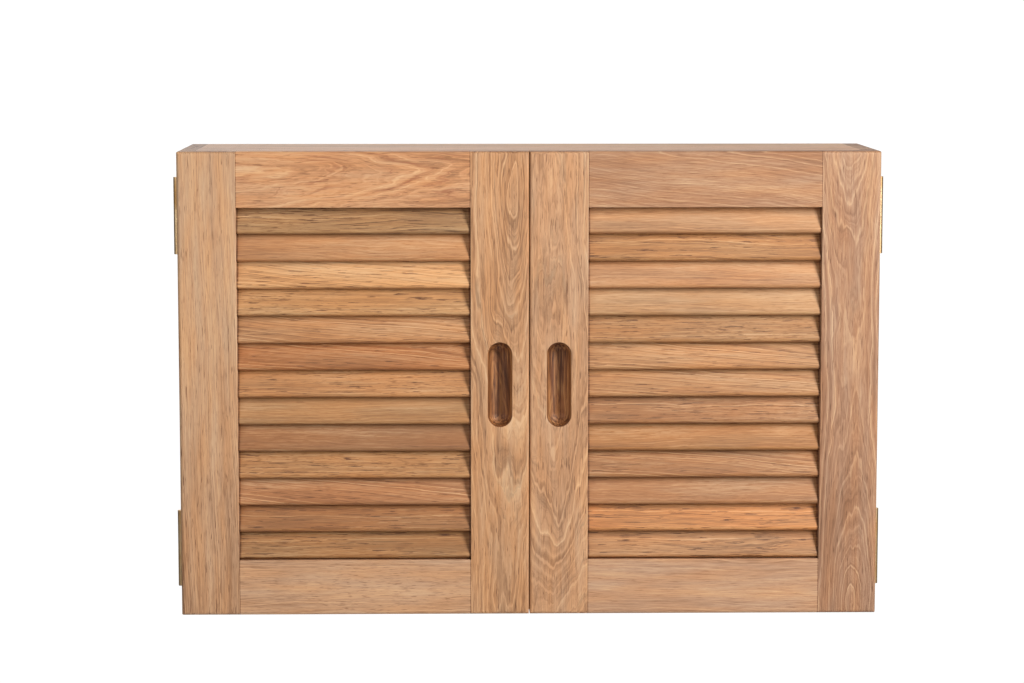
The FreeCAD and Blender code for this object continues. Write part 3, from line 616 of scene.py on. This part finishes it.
# %% Carcass boards
CARCASS = {
    "left_side_panel": ("yxz", "#C59A74", 71, dict(ARCHED, heart=(10, 60), tilt=0.1)),
    "right_side_panel": ("yxz", "#C79C76", 72, dict(ARCHED, heart=(-14, 55), tilt=-0.1)),
    # The top panel's paler tone is painted light: the sheen of the light grazing the top.
    "top_panel": ("yzx", "#DEB18C", 73, dict(STRAIGHT, lines=0.35)),
    "bottom_panel": ("yzx", "#C0946C", 74, dict(FLAMED)),
    "back_panel": ("xyz", "#C3966C", 75, dict(ARCHED, heart=(40, 120), tilt=0.2, ring=6)),
    "shelf": ("yzx", "#C4976F", 76, dict(PLAIN)),
    "hanging_rail": ("zyx", "#C09068", 77, dict(PLAIN)),
}
for name, (axes, tone, seed, sawing) in CARCASS.items():
    teak(name, axes, tone, seed, **sawing)
print("carcass boards in teak:", len(CARCASS))

# %% [markdown]
# ## Brass
#
# The hinges, their pins and all screws are solid brass, drawn or turned and then polished. A few years in a
# room dull it to a warm satin with browner patches. A metal takes its colour from its reflections, so it is
# fully metallic and keeps the default index of refraction. Its roughness goes from about 0.4 where it is
# bright to 0.5 where it is dull. The polishing scratches are really a few hundredths of a millimetre wide
# and are drawn ten times as coarse.

# %% Brass


def metal(name, bright, dull, rough, spot, scratch, nodes):
    """A polished metal that has dulled in patches, with patches and scratches of those sizes in metres."""
    material, tree = blank(name)
    solid = add(tree, "ShaderNodeTexCoord", {}, "Object")
    blotch = add(tree, "ShaderNodeTexNoise", {"Vector": solid, "Scale": 1 / spot, "Detail": 4.0})
    drawn_out = add(tree, "ShaderNodeVectorMath", {0: solid, 1: (1 / scratch, 1 / scratch, 0.05 / scratch)},
                    operation="MULTIPLY")
    scratches = add(tree, "ShaderNodeTexNoise", {"Vector": drawn_out, "Scale": 1.0, "Detail": 2.0})
    colour = add(tree, "ShaderNodeValToRGB", {0: blotch}, stops=[(0.38, dull), (0.62, bright)])
    dullness = add(tree, "ShaderNodeMapRange", {0: blotch, 1: 0.35, 2: 0.65, 3: rough + 0.14, 4: rough})
    scuffed = add(tree, "ShaderNodeMath", {0: scratches, 1: 0.16, 2: dullness}, operation="MULTIPLY_ADD")
    bump = add(tree, "ShaderNodeBump", {"Strength": 0.4, "Distance": 0.00003, "Height": scratches})
    shader = add(tree, "ShaderNodeBsdfPrincipled", {"Base Color": colour, "Metallic": 1.0,
                 "Roughness": scuffed, "Normal": bump})
    add(tree, "ShaderNodeOutputMaterial", {"Surface": shader})
    for node in nodes:
        pieces[node].material_slots[0].material = material


hinge_leaves = [name for name in pieces if name.endswith("_leaf")]
screws = [name for name in pieces if name.endswith("_screws")]
metal("dulled_polished_brass", "#F0CFA0", "#C69A64", rough=0.30, spot=0.03, scratch=0.0003,
      nodes=[*hinge_leaves, *screws, "hinge_pins"])
print("brass pieces:", len(hinge_leaves) + len(screws) + 1)

# %% [markdown]
# ## Strikes and magnets
#
# The strikes are small stamped steel plates with a zinc coat, so they are grey and a little cloudy.
# The magnets are blocks of sintered ferrite: nearly black, fine-grained and not metallic to the eye.

# %% Steel and ferrite
metal("zinc_plated_steel", "#C9CCCE", "#A6AAAD", rough=0.36, spot=0.004, scratch=0.0004,
      nodes=["left_strike", "right_strike"])
PATCHES_IN_A_METRE = 60.0


def moulded(name, dark, pale, rough, grit, relief, nodes):
    """A pressed or moulded material with a fine grit, in metres, in its colour and its relief."""
    material, tree = blank(name)
    solid = add(tree, "ShaderNodeTexCoord", {}, "Object")
    grains = add(tree, "ShaderNodeTexNoise", {"Vector": solid, "Scale": 1 / grit, "Detail": 3.0})
    patches = add(tree, "ShaderNodeTexNoise", {"Vector": solid, "Scale": PATCHES_IN_A_METRE, "Detail": 2.0})
    colour = add(tree, "ShaderNodeValToRGB", {0: patches}, stops=[(0.35, dark), (0.65, pale)])
    dullness = add(tree, "ShaderNodeMapRange", {0: grains, 1: 0.3, 2: 0.7, 3: rough - 0.06, 4: rough + 0.08})
    bump = add(tree, "ShaderNodeBump", {"Strength": 0.5, "Distance": relief, "Height": grains})
    shader = add(tree, "ShaderNodeBsdfPrincipled", {"Base Color": colour, "Roughness": dullness,
                 "IOR": 1.5, "Normal": bump})
    add(tree, "ShaderNodeOutputMaterial", {"Surface": shader})
    for node in nodes:
        pieces[node].material_slots[0].material = material


moulded("sintered_ferrite", "#2A2A2B", "#3A3A3C", rough=0.62, grit=0.0006, relief=0.00004,
        nodes=["catch_magnets"])
print("steel strikes: 2, ferrite magnets: 2")

# %% [markdown]
# ## Catch housings
#
# The magnets sit in injection-moulded ABS housings, in the brown that hardware shops sell for dark wood.
# A fine spark-eroded texture in the mould gives them an even, soft sheen.

# %% Brown ABS
moulded("brown_abs", "#4E3526", "#5A3E2D", rough=0.48, grit=0.0005, relief=0.00003,
        nodes=["left_catch", "right_catch"])
print("catch housings: 2")

# %% [markdown]
# ## Dowels
#
# The dowels that join the boards are turned beech, pale and close-grained, and they stay hidden in their
# holes. They are made like the teak boards: a solid wood, only finer and with less contrast.

# %% Beech
# How often the rays change in a metre, along the dowel and across it.
RAYS_ALONG, RAYS_ACROSS = 300, 1800


def beech(name, node):
    """Turned beech, with short dark rays that run along the dowel."""
    material, tree = blank(name)
    solid = add(tree, "ShaderNodeTexCoord", {}, "Object")
    drawn_out = add(tree, "ShaderNodeVectorMath", {0: solid, 1: (RAYS_ALONG, RAYS_ACROSS, RAYS_ACROSS)},
                    operation="MULTIPLY")
    rays = add(tree, "ShaderNodeTexNoise", {"Vector": drawn_out, "Scale": 1.0, "Detail": 2.0})
    colour = add(tree, "ShaderNodeValToRGB", {0: rays}, stops=[
        (0.30, "#C09468"), (0.50, "#DDB78C"), (0.70, "#E6C69E")])
    dullness = add(tree, "ShaderNodeMapRange", {0: rays, 1: 0.3, 2: 0.7, 3: 0.66, 4: 0.56})
    bump = add(tree, "ShaderNodeBump", {"Strength": 0.5, "Distance": 0.00005, "Height": rays})
    shader = add(tree, "ShaderNodeBsdfPrincipled", {"Base Color": colour, "Roughness": dullness,
                 "IOR": 1.5, "Normal": bump})
    add(tree, "ShaderNodeOutputMaterial", {"Surface": shader})
    pieces[node].material_slots[0].material = material


beech("turned_beech", "carcass_dowels")
print("dowels in beech")

# %% [markdown]
# ## Last checks
#
# Every piece should have left the drawing's plain colours behind.

# %% Check and finish
FEWEST_NODES = 6
plain = [name for name, piece in pieces.items()
         if len(piece.active_material.node_tree.nodes) < FEWEST_NODES]
print("pieces still without a finish:", plain or "none")
